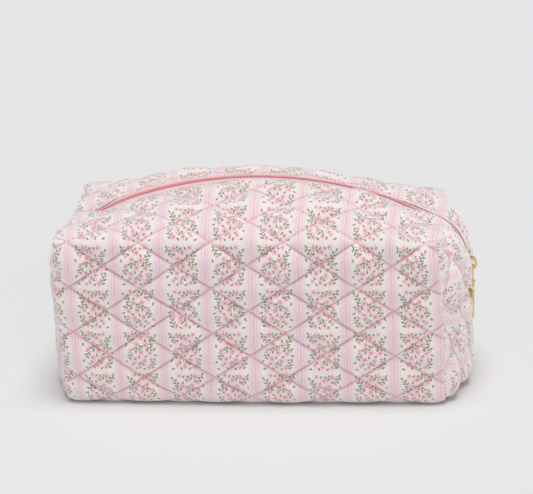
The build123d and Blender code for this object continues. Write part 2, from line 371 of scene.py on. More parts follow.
        self.near_rim = np.concatenate([near[-1][::-1], ids[:, 2], near[1]])
        self.seam_column = np.isin(np.arange(count), ids[[0, -1]][:, self.fold + 3:self.foot - 1])

    def end_cloth(self, panel, level, side):
        """Cloth coordinates of an end wall above and below its seam, and the seam's row."""
        step = np.linalg.norm(np.diff(panel, axis=0), axis=2)
        fall = np.concatenate([np.zeros((1, self.across)), np.cumsum(step, 0)])
        v = self.v[-1 if side > 0 else 0]
        over = np.broadcast_to(v[self.fold::-1], fall.shape)
        under = np.broadcast_to(v[self.foot:], fall.shape)
        upper = np.stack([side * (CORNER_X + fall), over], -1)
        lower = np.stack([side * (CORNER_X + fall[-1] - fall), under], -1)
        return upper, lower, int(np.argmin(np.abs(level - SEAM_Z)))

    def girth_pinch(self):
        """How far the padding is free to puff: 0 at the corner seams and the gap's edge."""
        from_corner = (1 - np.abs(self.c[:, None])) * CORNER_X
        on_wall = smooth(self.v, -6, 2) * smooth(self.middle_v - self.v, 30, 55)
        corner = 1 - on_wall * 0.6 * (1 - smooth(from_corner, 0, 6))
        corner = corner * (1 - 0.5 * np.exp(-((self.v - self.v[:, [self.foot]]) / 7.0) ** 2))
        from_gap = self.v - self.v[:, :1]
        return corner * smooth(from_gap, 1.5, 10)

    def end_pinch(self, panel, level):
        """The same for an end wall, which also has its level seam."""
        from_corner = np.linspace(0, 1, self.across)[None] * CORNER_Y
        from_gap = np.abs(panel[:, -1:, 1] - panel[..., 1]) + 40 * (level[:, None] < SEAM_Z)
        from_seam = np.abs(level - SEAM_Z)[:, None]
        by_corner = smooth(from_corner, 2, 12) - 0.3 * np.exp(-((from_corner - 3.0) / 2.5) ** 2)
        return by_corner * smooth(from_gap, 1.5, 10) * smooth(from_seam, 0, 5)

    def mirror(self):
        """Adds the back half, which shares the vertices under the base and below the seams."""
        count = len(self.points)
        shared = np.abs(self.points[:, 1]) < 1e-6
        own = np.where(shared, np.arange(count), count + np.cumsum(~shared) - 1)
        back = ~shared
        self.points = np.concatenate([self.points, self.points[back] * (1, -1, 1)])
        over = self.cloth * (1, -1) + (0, 2 * self.middle_v)
        self.cloth = np.concatenate([self.cloth, over[back]])
        self.pinch = np.concatenate([self.pinch, self.pinch[back]])
        corners = self.corners * (1, -1) + (0, 2 * self.middle_v)
        self.halves = {"front": np.arange(len(self.quads))}
        self.halves["back"] = self.halves["front"] + len(self.quads)
        self.rims = {"front": self.rim, "back": own[self.rim]}
        self.near_rims = {"front": self.near_rim, "back": own[self.near_rim]}
        self.own = {"front": np.arange(count), "back": own}
        self.seam_column = np.concatenate([self.seam_column, self.seam_column[back]])
        self.quads = np.concatenate([self.quads, own[self.quads][:, ::-1]])
        self.corners = np.concatenate([self.corners, corners[:, ::-1]])


def quilt_height(cloth):
    """Height of the puffs, 0 on the quilting lines and 1 in the middle of a diamond."""
    rising, falling = quilt_place(cloth)
    return np.abs(np.sin(math.pi * rising) * np.sin(math.pi * falling)) ** 0.5


def quilt_place(cloth):
    """Place across the rising and the falling lines, which are at whole numbers."""
    u = (cloth[..., 0] - CROSSING_U) / DIAMOND_U
    v = (cloth[..., 1] - CROSSING_V) / DIAMOND_V
    return u + v, u - v


def puckers(cloth):
    """Small gathers of the cloth that start at right angles to the stitching."""
    rising, falling = quilt_place(cloth)
    drift = 0.8 * np.sin(2.1 * rising + 1.3) + 0.8 * np.sin(1.7 * falling)
    total = 0.0
    for near, along in ((rising, falling), (falling, rising)):
        close = np.exp(-np.abs(np.sin(math.pi * near)) / 0.24)
        wave = np.sin(2 * math.pi * 5.0 * along + 3.0 * drift + 2.0 * np.round(near))
        total = total + close * wave
    return total * np.abs(np.sin(math.pi * rising) * np.sin(math.pi * falling)) ** 0.15


def unevenness(cloth):
    """Slow differences in how full the puffs are."""
    u, v = cloth[..., 0], cloth[..., 1]
    waves = np.sin(u / 17.0 + 1.0) * np.sin(v / 13.0) + np.sin(u / 7.3 - v / 9.1)
    return 1.0 + 0.09 * waves


def mouth_along(x):
    """How far the mouth opens along the bag, 0 to 1."""
    far, near = (smooth(x, MOUTH_SHUT_X[i], MOUTH_OPEN_X[i]) for i in range(2))
    return far * near


def mouth_weight(x, v):
    """Share of the mouth's turn that the cloth follows."""
    return mouth_along(x) * smooth(-v, HINGE_START, HINGE_END)


def closed_layer(name, sheet, half, outer, inner, hem=None):
    """A closed piece of one half of the sheet, between two sets of points."""
    quads = sheet.quads[sheet.halves[half]]
    uv = sheet.corners[sheet.halves[half]]
    points, lower = outer, inner
    if hem is not None:
        extra_out, extra_in, extra_quads, extra_uv = hem
        points = np.concatenate([outer, extra_out])
        lower = np.concatenate([inner, extra_in])
        quads = np.concatenate([quads, extra_quads])
        uv = np.concatenate([uv, extra_uv])
    used, index = np.unique(quads, return_inverse=True)
    quads = index.reshape(-1, 4)
    count = len(used)
    edges = np.concatenate([quads[:, [i, (i + 1) % 4]] for i in range(4)])
    edge_uv = np.concatenate([uv[:, [i, (i + 1) % 4]] for i in range(4)])
    key = np.sort(edges, 1)
    _, first, times = np.unique(key, axis=0, return_index=True, return_counts=True)
    rim = edges[first[times == 1]]
    rim_uv = edge_uv[first[times == 1]]
    wall = np.stack([rim[:, 1], rim[:, 0], rim[:, 0] + count, rim[:, 1] + count], -1)
    wall_uv = rim_uv[:, [1, 0, 0, 1]]
    faces = np.concatenate([quads, quads[:, ::-1] + count, wall])
    uvs = np.concatenate([uv, uv[:, ::-1], wall_uv])
    obj = new_object(name, np.concatenate([points[used], lower[used]]), faces)
    set_cloth(obj, uvs)
    return obj, used


def hem_rows(sheet, half, surface, normals):
    """Turns the cover's edge down to the tape, with a short return under it."""
    rim = sheet.rims[half]
    edge, normal = surface[rim], normals[rim]
    sign = 1.0 if half == "front" else -1.0
    along = unit(np.gradient(edge, axis=0))
    inward = unit(np.cross(normal, along))
    inward *= np.sign(np.median(inward[:, 1])) * sign
    fade = smooth(np.abs(edge[:, 1]), 0.2, 2.5)[:, None]
    out, under = [], []
    for turn in np.linspace(0, math.pi / 2, 5)[1:]:
        shift = inward * math.sin(turn) - normal * (1 - math.cos(turn))
        out.append(edge + fade * HEM_R * shift)
        inner = inward * math.sin(turn) * (HEM_R - COVER_T) - normal * (
            COVER_T + (HEM_R - COVER_T) * (1 - math.cos(turn)))
        under.append(edge + np.where(fade > 0.02, fade * inner, -normal * COVER_T))
    count = len(surface)
    ids = np.concatenate([[rim], count + np.arange(len(out) * len(rim)).reshape(len(out), -1)])
    u, v = sheet.cloth[rim].T
    back = np.sign(v - sheet.middle_v)
    cloth = np.stack([np.stack([u, v + back * 0.9 * k], -1) for k in range(len(out) + 1)])
    quads, flat = grid_quads(ids), grid_quads(np.arange(ids.size).reshape(ids.shape))
    if half == "front":
        quads, flat = quads[:, ::-1], flat[:, ::-1]
    return np.concatenate(out), np.concatenate(under), quads, cloth.reshape(-1, 2)[flat]


def dress(obj, material, slot, *stands_for):
    """Gives a piece its material and hides the CAD pieces that it stands for; slot is not used."""
    obj.data.materials.append(MATERIALS[material])
    if stands_for:
        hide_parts(*stands_for)


def blend_to_mouth(obj, half, weights):
    """Lets a mesh follow the bag's body and, by its weights, the opening mouth."""
    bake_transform(obj, "root", half + "_mouth", start=(0, 0, 0), end=(0, 0, 1))
    attribute = obj.data.attributes["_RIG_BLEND"]
    attribute.data.foreach_set("value", np.asarray(weights, np.float32))


def sheet_weights(sheet):
    """Mouth weights of the sheet's vertices."""
    v = np.minimum(sheet.cloth[:, 1], 2 * sheet.middle_v - sheet.cloth[:, 1])
    x = sheet.points[:, 0]
    on_end = np.abs(sheet.cloth[:, 0]) > CORNER_X + 0.01
    return np.where(on_end, 0, mouth_weight(x, v))


def make_cover(sheet):
    """The printed cover: front and back halves with puffs, seams and hems."""
    puff = PUFF * quilt_height(sheet.cloth) * unevenness(sheet.cloth) + 0.28 * puckers(sheet.cloth)
    surface = sheet.points + sheet.normals * (puff * sheet.pinch)[:, None]
    surface[:, 2] = np.maximum(surface[:, 2], 0.1)
    normals = vertex_normals(surface, sheet.quads)
    weights = sheet_weights(sheet)
    for half in ("front", "back"):
        hem = hem_rows(sheet, half, surface, normals)
        inner = surface - normals * COVER_T
        obj, used = closed_layer("cover_" + half, sheet, half, surface, inner, hem)
        rim_weights = np.tile(weights[sheet.rims[half]], len(hem[0]) // len(sheet.rims[half]))
        full = np.concatenate([weights, rim_weights])[used]
        outer_normals = np.concatenate([normals, np.zeros((len(hem[0]), 3))])[used]
        middle = np.concatenate([np.abs(sheet.points[:, 1]) < 1e-6, np.zeros(len(hem[0]), bool)])
        sharp = np.concatenate([sheet.seam_column, np.zeros(len(hem[0]), bool)])
        keep_normals(obj, outer_normals, middle[used], sharp[used])
        dress(obj, "print", "printed_cotton", "body_cover", half + "_top_cover")
        blend_to_mouth(obj, half, np.tile(full, 2))
    return surface, normals


def keep_normals(obj, normals, known, sharp):
    """Gives the outer side the whole sheet's normals, so that the halves meet unseen.

    Where the sheet turns a corner seam, each side of the seam keeps its own normals.
    """
    mesh = obj.data
    count = len(known)
    corners = face_corners(mesh)
    own = read_normals(mesh.vertices)
    own[:count][known] = normals[known]
    result = own[corners]
    totals = np.zeros(len(mesh.polygons), int)
    mesh.polygons.foreach_get("loop_total", totals)
    face = np.repeat(np.arange(len(mesh.polygons)), totals)
    at_seam = np.concatenate([sharp, np.zeros(len(mesh.vertices) - count, bool)])[corners]
    result[at_seam] = read_normals(mesh.polygons)[face[at_seam]]
    mesh.normals_split_custom_set(result.tolist())


def read_normals(elements):
    normals = np.zeros(len(elements) * 3, np.float32)
    elements.foreach_get("normal", normals)
    return normals.reshape(-1, 3).astype(float)


def make_padding(sheet):
    """Wadding and lining under the cover, coarser because little of them shows."""
    height = quilt_height(sheet.cloth) * sheet.pinch
    layers = {  # how far each side lies beyond the quilting lines, and its level at the base
        "wadding": (0.7 * PUFF * height - COVER_T - 0.3, -2.9 + 0 * height, 0.9),
        "lining": (-LINING_DEPTH - 1.4 * height, -LINING_DEPTH - LINING_T - 2.4 * height, 3.6),
    }
    weights = sheet_weights(sheet)
    for half in ("front", "back"):
        for kind, (high, low, level) in layers.items():
            outer = sheet.points + sheet.normals * high[:, None]
            inner = sheet.points + sheet.normals * low[:, None]
            outer[:, 2] = np.maximum(outer[:, 2], level)
            inner[:, 2] = np.maximum(inner[:, 2], level + 0.5)
            obj, used = closed_layer(kind + "_" + half, sheet, half, outer, inner)
            slot = "wadding" if kind == "wadding" else "lining_cotton"
            dress(obj, kind, slot, "body_" + kind, half + "_top_" + kind)
            blend_to_mouth(obj, half, np.tile(weights[used], 2))


# ======== zip
TAPE_Y = (1.3, 2.2, 3.6, 5.0, 6.6, 9.0)         # the tape rises from the coil to the hem
TAPE_DEPTH = (2.0, 1.95, 1.9, 1.9, 1.95, 2.0)
TAPE_T = 0.4
ZIP_LIFT = 0.9                                  # the zip stands higher along its arch
COIL_PITCH = 1.5
COIL_WIRE = 0.3
COIL_REACH = (0.72, 0.85)                       # middle and half width of a turn
COIL_DEPTH = (1.5, 0.38)
GUARD_DEPTH = 5.0                               # cloth behind the ends of the zip
GUARD_Y = 8.0
GUARD_T = 0.5


def on_zip(s, y, depth):
    """Points beside the zip line: s along it, y across it and a depth below the surface."""
    line, normal = zip_line(s)
    lift = ZIP_LIFT * (1 - smooth(np.abs(s), 82, 100)) * (np.asarray(depth) < 3)
    flat = line - normal * (np.asarray(depth) - lift)[..., None]
    return settle(np.stack([flat[..., 0], np.broadcast_to(y, flat[..., 0].shape), flat[..., 1]], -1))


def tube(path, radius, sides):
    """Points and faces of a round tube along a path, closed at both ends."""
    tangent = unit(np.gradient(path, axis=0))
    guide = np.where(np.abs(tangent[:, 2:3]) > 0.9, [[1.0, 0, 0]], [[0, 0, 1.0]])
    across = unit(np.cross(tangent, guide))
    for i in range(1, len(path)):
        flat = across[i - 1] - tangent[i] * np.dot(across[i - 1], tangent[i])
        across[i] = flat / max(np.linalg.norm(flat), 1e-9)
    up = np.cross(tangent, across)
    angle = np.linspace(0, 2 * math.pi, sides, endpoint=False)
    ring = across[:, None] * np.cos(angle)[None, :, None] + up[:, None] * np.sin(angle)[None, :, None]
    return (path[:, None] + ring * radius).reshape(-1, 3), ring_faces(len(path), sides)


def zip_strip(name, s, y, depth, thick, is_flipped, is_smooth):
    """A closed strip of cloth along the zip, its two faces at a depth and thick below it."""
    upper, lower = on_zip(s, y, depth), on_zip(s, y, depth + thick)
    cloth = np.stack([s, y], -1)
    rings, uv = (np.concatenate([a, b[:, ::-1]], 1) for a, b in ((upper, lower), (cloth, cloth)))
    return ring_object(name, rings, uv, is_flipped, is_smooth)


def make_tape(half, sign):
    """Woven tape from end seam to end seam, under the cover's edge."""
    s, y = np.meshgrid(np.linspace(-ZIP_S, ZIP_S, 400), sign * np.array(TAPE_Y), indexing="ij")
    obj = zip_strip("zip_tape_" + half, s, y, np.array(TAPE_DEPTH) + 0 * s, TAPE_T, sign > 0, False)
    dress(obj, "tape", "zip_tape", half + "_zip_tape")
    blend_to_mouth(obj, half, mouth_along(mesh_points(obj)[:, 0]))


def make_coil(half, sign):
    """Nylon coil: a flattened spiral whose heads mesh with the other side's."""
    start, end = -ZIP_S + 1.5, ZIP_S - 14.0
    turns = int((end - start) / COIL_PITCH)
    angle = np.linspace(0, 2 * math.pi * turns, 12 * turns + 1)
    s = start + COIL_PITCH * (angle / (2 * math.pi) + (0.5 if sign > 0 else 0.0))
    y = sign * (COIL_REACH[0] + COIL_REACH[1] * np.cos(angle))
    depth = COIL_DEPTH[0] + COIL_DEPTH[1] * np.sin(angle)
    points, faces = tube(on_zip(s, y, depth), COIL_WIRE, 6)
    obj = new_object("zip_coil_" + half, points, faces)
    dress(obj, "coil", "zip_coil", half + "_zip_coil")
    blend_to_mouth(obj, half, mouth_along(points[:, 0]))


def make_guard(name, side):
    """A scrap of lining cloth behind one end of the zip, so that nothing shows through."""
    drop = np.linspace(ZIP_S - 27.0, ZIP_S + 3.0, 16)
    s, y = np.meshgrid(side * drop, np.linspace(-GUARD_Y, GUARD_Y, 13), indexing="ij")
    ripple = 0.15 * np.sin(s / 2.3) * np.sin(y / 1.9)
    obj = zip_strip(name, s, y, GUARD_DEPTH + ripple, GUARD_T, side > 0, True)
    dress(obj, "lining", "lining_cotton")
    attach(obj, "root")


# ======== bindings
BINDING_REACH = 9.0      # from the seam into the bag
BINDING_T = 1.9


def folded_tape(name, stands_for, start, end, inward):
    """Tape folded over a seam's raw edges: a flattened U that ripples along its length."""
    start, end, inward = (np.array(v, float) for v in (start, end, inward))
    length = np.linalg.norm(end - start)
    along = (end - start) / length
    aside = np.cross(along, inward)
    station = np.linspace(0, length, 60)[:, None]
    turn = np.linspace(0, 2 * math.pi, 28, endpoint=False)[None]
    reach = BINDING_REACH / 2 * (1 + np.sign(np.cos(turn)) * np.abs(np.cos(turn)) ** 0.35)
    thick = BINDING_T / 2 * np.sign(np.sin(turn)) * np.abs(np.sin(turn)) ** 0.5
    ripple = 0.35 * np.sin(station / 4.7 + 1.0) * reach / BINDING_REACH
    stitched = 1 - 0.22 * np.exp(-((reach - 5.2) / 0.7) ** 2)
    offset = reach[..., None] * inward + (thick * stitched + ripple)[..., None] * aside
    points = start + station[..., None] * along + offset
    obj = ring_object(name, points, np.stack(np.broadcast_arrays(station, turn * 3.0), -1))
    dress(obj, "binding", "binding", stands_for)
    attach(obj, "root")


def make_bindings():
    """Bound seams inside: four upright at the corners, one across each end wall."""
    for x_name, x_side in (("left", -1), ("right", 1)):
        for y_name, y_side in (("front", -1), ("back", 1)):
            x, y = x_side * 113.6, y_side * 52.6
            inward = unit(np.array([-x_side, -y_side, 0.0]))
            folded_tape(f"corner_binding_{x_name}_{y_name}", "corner_seam_bindings", (x, y, 8.0),
                        (x, y, 83.0), inward)
        x = x_side * 121.6
        folded_tape("end_binding_" + x_name, x_name + "_end_seam_binding", (x, -41.0, 52.0),
                    (x, 41.0, 52.0), (-x_side, 0, 0))


# ======== stitches
STITCH_R = 0.2
STITCH = (2.1, 3.0)                             # length and pitch
TOPSTITCH = (2.0, 2.7)


def on_cloth(sheet, half, surface, normals, u, v):
    """Points and normals of the cover at cloth places; not a number off the half."""
    both = np.concatenate([surface, normals], 1)
    found = np.full((len(u), 6), np.nan)
    if half == "back":
        v = 2 * sheet.middle_v - v
    for key, along, ids, is_turned in sheet.patches:
        ids = sheet.own[half][ids]
        first, second = (v, u) if is_turned else (u, v)
        for i in np.flatnonzero((key[0] < first) & (first < key[-1])):
            k = int(np.searchsorted(key, first[i])) - 1
            share = (first[i] - key[k]) / (key[k + 1] - key[k])
            total = np.zeros(6)
            for column, part in ((k, 1 - share), (k + 1, share)):
                line = along[column]
                if not line[0] + 0.8 < second[i] < line[-1] - 0.8:
                    break
                row, past = divmod(np.interp(second[i], line, np.arange(len(line))), 1)
                a, b = ids[column, int(row):int(row) + 2]
                total += part * (both[a] * (1 - past) + both[b] * past)
            else:
                found[i] = total
    return found[:, :3], unit(found[:, 3:])


def stitch_row(path, facing, size, lift=0.0):
    """Thread stitches along a run of points, each dipping into the cloth at its ends."""
    length, pitch = size
    step = np.linalg.norm(np.diff(path, axis=0), axis=1)
    place = np.concatenate([[0], np.cumsum(step)])
    made = []
    for k in range(int((place[-1] - length) / pitch) + 1):
        at = k * pitch + length * np.linspace(0, 1, 5)
        middle = np.stack([np.interp(at, place, path[:, axis]) for axis in range(3)], -1)
        up = np.stack([np.interp(at, place, facing[:, axis]) for axis in range(3)], -1)
        rise = np.array([-0.35, 0.12, 0.2, 0.12, -0.35]) + lift
        made.append(tube(middle + up * rise[:, None], STITCH_R, 6))
    return made


def add_threads(name, made, weights, half):
    """One object from many stitches."""
    points, faces, shares = [], [], []
    count = 0
    for (p, f), w in zip(made, weights):
        points.append(p)
        faces += [tuple(i + count for i in face) for face in f]
        shares.append(np.full(len(p), w))
        count += len(p)
    obj = new_object(name, np.concatenate(points), faces)
    dress(obj, "thread", "printed_cotton")
    blend_to_mouth(obj, half, np.concatenate(shares))


def make_quilting(sheet, half, surface, normals):
    """Thread along all quilting lines of one half."""
    made, weights = [], []
    for slope in (1, -1):
        for n in range(-12, 14):
            t = np.arange(-14, 14, 0.06)
            u = CROSSING_U + DIAMOND_U * (n + t) / 2
            v = CROSSING_V + slope * DIAMOND_V * (n - t) / 2
            points, facing = on_cloth(sheet, half, surface, normals, u, v)
            good = ~np.isnan(points[:, 0])
            for run in np.split(np.arange(len(t)), np.flatnonzero(np.diff(good)) + 1):
                if good[run[0]] and len(run) > 3:
                    row = stitch_row(points[run], facing[run], STITCH)
                    made += row
                    weights += stitch_weights(sheet, half, row, u[run], v[run], points[run])
    add_threads("quilting_thread_" + half, made, weights, half)


def stitch_weights(sheet, half, row, u, v, path):
    """The cover's mouth weights where each stitch is."""
    if half == "back":
        v = 2 * sheet.middle_v - v
    along = np.where(np.abs(u) > CORNER_X, 0, mouth_weight(path[:, 0], v))
    result = []
    for points, _ in row:
        nearest = np.argmin(np.linalg.norm(path - points.mean(0), axis=1))
        result.append(along[nearest])
    return result


def make_topstitch(sheet, half, surface, normals):
    """A row of thread beside the zip's gap."""
    ids = sheet.near_rims[half]
    row = stitch_row(surface[ids], normals[ids], TOPSTITCH)
    weights = [mouth_weight(points[:, 0].mean(), -40.0) for points, _ in row]
    ends = [points[:, 2].mean() > 100 for points, _ in row]
    weights = [w if top else 0.0 for w, top in zip(weights, ends)]
    add_threads("topstitch_" + half, row, weights, half)


# ======== materials
class Value:
    """An output of a node tree that takes part in sums like a number."""

    def __init__(self, nodes, socket):
        self.nodes = nodes
        self.socket = socket


def operator(kind, is_turned=False):
    """A method of Value that adds a maths node."""
    def method(self, other=None):
        return self.nodes.math(kind, *((other, self) if is_turned else (self, other)))
    return method


for word, kind in (("add", "ADD"), ("sub", "SUBTRACT"), ("mul", "MULTIPLY"), ("truediv", "DIVIDE"),
                   ("pow", "POWER"), ("abs", "ABSOLUTE")):
    setattr(Value, f"__{word}__", operator(kind))
Value.__rsub__ = operator("SUBTRACT", True)


class Nodes:
    """Short-hand for a node tree."""

    def __init__(self, tree):
        self.tree = tree

    def add(self, kind, **settings):
        node = self.tree.nodes.new(kind)
        for key, value in settings.items():
            setattr(node, key, value)
        return node

    def put(self, socket, value):
        if isinstance(value, Value):
            self.tree.links.new(value.socket, socket)
        elif value is not None:
            socket.default_value = value

    def made(self, node, sockets, values, output=0):
        """Fills sockets of a node and gives one of its outputs."""
        for socket, value in zip(sockets, values):
            self.put(node.inputs[socket], value)
        return Value(self, node.outputs[output])

    def math(self, operation, a, b=None):
        return self.made(self.add("ShaderNodeMath", operation=operation), (0, 1), (a, b))

    def vector(self, operation, a, b=None):
        output = "Value" if operation in ("LENGTH", "DOT_PRODUCT") else "Vector"
        return self.made(self.add("ShaderNodeVectorMath", operation=operation), (0, 1), (a, b), output)

    def mix(self, share, a, b, blend="MIX"):
        node = self.add("ShaderNodeMix", data_type="RGBA", blend_type=blend)
        return self.made(node, (0, 6, 7), (share, a, b), 2)

    def step(self, value, low, high):
        """0 below low and 1 above high, softly; high may be the smaller one."""
        node = self.add("ShaderNodeMapRange", interpolation_type="SMOOTHSTEP")
        return self.made(node, range(5), (value, low, high, 0.0, 1.0))

    def wave(self, value, length):
        return self.math("SINE", value * (2 * math.pi / length))

    def noise(self, scale, detail, vector, rough=0.5):
        sockets = ("Scale", "Detail", "Roughness", "Vector")
        return self.made(self.add("ShaderNodeTexNoise"), sockets, (scale, detail, rough, vector))

    def bump(self, height, strength, distance, below=None):
        sockets = ("Strength", "Distance", "Height", "Normal")
        return self.made(self.add("ShaderNodeBump"), sockets, (strength, distance, height, below))

    def uv(self):
        return Value(self, self.add("ShaderNodeUVMap", uv_map="cloth").outputs[0])

    def cloth(self):
        """Cloth coordinates in millimetres."""
        return self.vector("MULTIPLY", self.uv(), (1000.0, 1000.0, 1000.0))

    def place(self):
        """Coordinates of the object in metres."""
        return Value(self, self.add("ShaderNodeTexCoord").outputs["Object"])

    def split(self, vector):
        node = self.add("ShaderNodeSeparateXYZ")
        self.put(node.inputs[0], vector)
        return Value(self, node.outputs[0]), Value(self, node.outputs[1])

    def join(self, x, y):
        return self.made(self.add("ShaderNodeCombineXYZ"), (0, 1), (x, y))


class Material(Nodes):
    """The nodes of a new material with one principled shader."""

    def __init__(self, name):
        self.material = bpy.data.materials.new(name)
        self.material.use_nodes = True
        super().__init__(self.material.node_tree)
        self.tree.nodes.clear()
        out = self.add("ShaderNodeOutputMaterial")
        self.shader = self.add("ShaderNodeBsdfPrincipled")
        self.tree.links.new(self.shader.outputs[0], out.inputs[0])

    def finish(self, specular=0.5, **inputs):
        """Sets the shader's inputs and gives the material."""
        for key, value in inputs.items():
            self.put(self.shader.inputs[key.replace("_", " ").title()], value)
        self.shader.inputs["Specular IOR Level"].default_value = specular
        return self.material


def rgb(red, green, blue):
    """Display colour (0-255) as linear light."""
    def linear(c):
        c /= 255.0
        return c / 12.92 if c <= 0.04045 else ((c + 0.055) / 1.055) ** 2.4
    return (linear(red), linear(green), linear(blue), 1.0)


GROUND = rgb(249, 245, 238)
GROUND_SHADE = rgb(246, 233, 228)
STRIPE_PALE = rgb(247, 226, 230)
STRIPE_DEEP = rgb(238, 190, 201)
WASH = rgb(249, 222, 227)
PETAL = rgb(240, 174, 190)
PETAL_PALE = rgb(248, 206, 217)
HEART = rgb(222, 98, 132)
LEAF = rgb(103, 109, 78)
LEAF_PALE = rgb(160, 166, 134)
# painted shade: a deeper pink laid on the creases of the quilting lines
PAINTED_CREASE_SHADE = rgb(230, 150, 166)
THREAD_GAP_SHADE = (0.45, 0.36, 0.36, 1.0)            # painted shade in the gaps between threads
STRIPE_LINE = 1.45                              # from one printed line to the next
SPRIG_PITCH = 2.4                               # from one pair of leaves to the next
WEAVE_PITCH = 0.34

# One column of the print, between two stripes: (u, v) from the column's middle, in mm.
FLOWERS = (  # and size
    (-4.8, 2.4, 1.9), (0.2, 4.6, 2.2), (4.8, 2.0, 1.7), (-2.6, 8.6, 2.0), (3.0, 9.2, 2.1),
    (-6.2, 12.4, 1.7), (0.4, 13.4, 2.2), (5.8, 14.0, 1.8), (-3.4, 17.6, 2.1), (2.4, 18.6, 2.0),
    (-1.0, 23.0, 1.9), (4.8, 23.4, 1.9), (-6.4, 7.0, 1.5), (6.6, 18.0, 1.5), (-5.6, 22.0, 1.6),
)
SPRIGS = (  # and turn in degrees
    (-7.4, 4.6, 60), (6.9, 6.8, -60), (-1.6, 11.4, 150), (6.6, 11.4, 30),
    (-6.6, 15.4, 115), (0.6, 20.8, -15), (7.2, 21.6, -70), (-2.6, 2.9, 15),
)
LEAVES = (  # and turn in degrees
    (-9.2, 1.6, 50), (9.2, 3.4, -60), (-9.2, 9.6, 80), (9.1, 15.4, 20), (-9.2, 19.6, 130),
    (2.8, 6.6, 70), (-4.2, 20.6, 40), (3.4, 16.0, -30), (-4.6, 6.0, -40), (2.2, 2.4, 50),
    (1.2, 9.8, -50), (-0.8, 16.4, 80), (-4.4, 11.6, -20), (-8.2, 24.4, 15), (4.2, 12.4, 20),
    (8.6, 18.0, 75), (2.0, 24.4, -30), (-3.2, 24.2, 60),
)


def print_material():
    """Quilting cotton printed with fine pink stripes and columns of small flowers."""
    n = Material("printed_cotton")
    cloth = n.cloth()
    u, v = n.split(cloth)
    # 0 in the middle of a column of flowers, half the pitch in the middle of a stripe
    across = (n.math("FRACT", (u - STRIPE_AT) / STRIPE_PITCH) - 0.5) * STRIPE_PITCH
    colour = n.mix(n.noise(45.0, 2.0, cloth), GROUND, GROUND_SHADE)
    colour = print_stripe(n, cloth, STRIPE_PITCH / 2 - abs(across), colour)
    wash = n.step(n.noise(0.16, 1.0, cloth), 0.35, 0.65) * n.step(abs(across), 9.5, 4.0)
    colour = n.mix(wash * 0.75, colour, WASH)
    colour = print_flowers(n, cloth, across, v, colour)
    # painted shade along the creases of the quilting lines
    colour = n.mix(painted_crease_mask(n, u, v) * 0.45, colour, PAINTED_CREASE_SHADE)
    height, gap = weave(n, cloth)
    # painted shade in the gaps between threads
    colour = n.mix(gap * 0.10, colour, THREAD_GAP_SHADE, "MULTIPLY")
    normal = n.bump(n.noise(0.12, 4.0, cloth, 0.6), 0.3, 0.0012)
    normal = n.bump(height, 0.2, 0.00008, normal)
    return n.finish(0.25, base_color=colour, roughness=0.88, normal=normal, sheen_weight=1.0,
                    sheen_roughness=0.7)


def print_stripe(n, cloth, from_stripe, colour):
    """A pale band with fine, slightly broken lines on it."""
    colour = n.mix(n.step(from_stripe, 4.6, 3.6), colour, STRIPE_PALE)
    lines = n.step(n.wave(from_stripe, STRIPE_LINE), -0.5, 0.9) * n.step(from_stripe, 3.4, 1.2)
    grain = n.noise(0.55, 2.0, n.vector("MULTIPLY", cloth, (4.0, 0.35, 1.0)))
    return n.mix(lines * n.step(grain, 0.28, 0.5) * 0.9, colour, STRIPE_DEEP)


def print_flowers(n, cloth, across, v, colour):
    """Leaves, sprigs and flowers; every other stretch of a column is its mirror image."""
    half = REPEAT_V / 2
    block = n.math("FLOOR", v / half)
    flip = 1.0 - n.math("MODULO", abs(block), 2.0) * 2.0
    wobble = (n.noise(900.0, 1.0, n.uv()) - 0.5) * 0.5      # keeps printed edges from being too clean
    place = n.vector("ADD", n.join(across * flip, v - block * half), n.join(wobble, wobble))
    leaves = [leaf(n, place, *at, 1.25, 0.58) for at in LEAVES]
    leaves += [sprig(n, place, *at) for at in SPRIGS]
    flowers = [flower(n, place, *at) for at in FLOWERS]
    colour = n.mix(either(n, leaves), colour, n.mix(n.noise(0.8, 1.0, cloth), LEAF, LEAF_PALE))
    tone = n.mix(n.noise(0.35, 1.0, cloth), PETAL, PETAL_PALE)
    colour = n.mix(either(n, [petals for petals, _ in flowers]), colour, tone)
    return n.mix(either(n, [heart for _, heart in flowers]), colour, HEART)


def either(n, masks):
    """The largest of several masks."""
    total = masks[0]
    for mask in masks[1:]:
        total = n.math("MAXIMUM", total, mask)
    return total


def turned(n, place, x, y, turn):
    """Coordinates along and across a motif at (x, y), turned by an angle in degrees."""
    local = n.vector("SUBTRACT", place, (x, y, 0.0))
    c, s = math.cos(math.radians(turn)), math.sin(math.radians(turn))
    return n.vector("DOT_PRODUCT", local, (c, s, 0.0)), n.vector("DOT_PRODUCT", local, (-s, c, 0.0))


def oval(along, across, length, width):
    """Below 1 inside a pointed oval."""
    return abs(along / length) ** 2.0 + abs(across / width)


def leaf(n, place, x, y, turn, length, width):
    along, across = turned(n, place, x, y, turn)
    return n.step(oval(along, across, length, width), 1.15, 0.85)


def sprig(n, place, x, y, turn):
    """A stem with alternate leaves, by folding the plane along and across the stem."""
    along, across = turned(n, place, x, y, turn)
    shift = n.math("SIGN", across) * 0.6
    cell = (n.math("FRACT", (along + 10 * SPRIG_PITCH + shift) / SPRIG_PITCH) - 0.5) * SPRIG_PITCH
    side = abs(across) - 0.95
    leaves = n.step(oval(cell * 0.70 + side * 0.71, side * 0.70 - cell * 0.71, 1.35, 0.62), 1.15, 0.75)
    stem = n.step(abs(across), 0.28, 0.14) * 0.8
    return n.math("MAXIMUM", leaves, stem) * n.step(abs(along), 2.7, 2.5)


def flower(n, place, x, y, size):
    """Five round petals and a darker heart."""
    local = n.vector("SUBTRACT", place, (x, y, 0.0))
    px, py = n.split(local)
    radius = n.vector("LENGTH", local)
    lobes = abs(n.math("COSINE", n.math("ARCTAN2", py, px) * 2.5 + x))
    petals = n.step(radius - (lobes * 0.42 + 0.55) * size, 0.22, -0.22)
    return petals, n.step(radius, 0.42 * size, 0.16 * size)


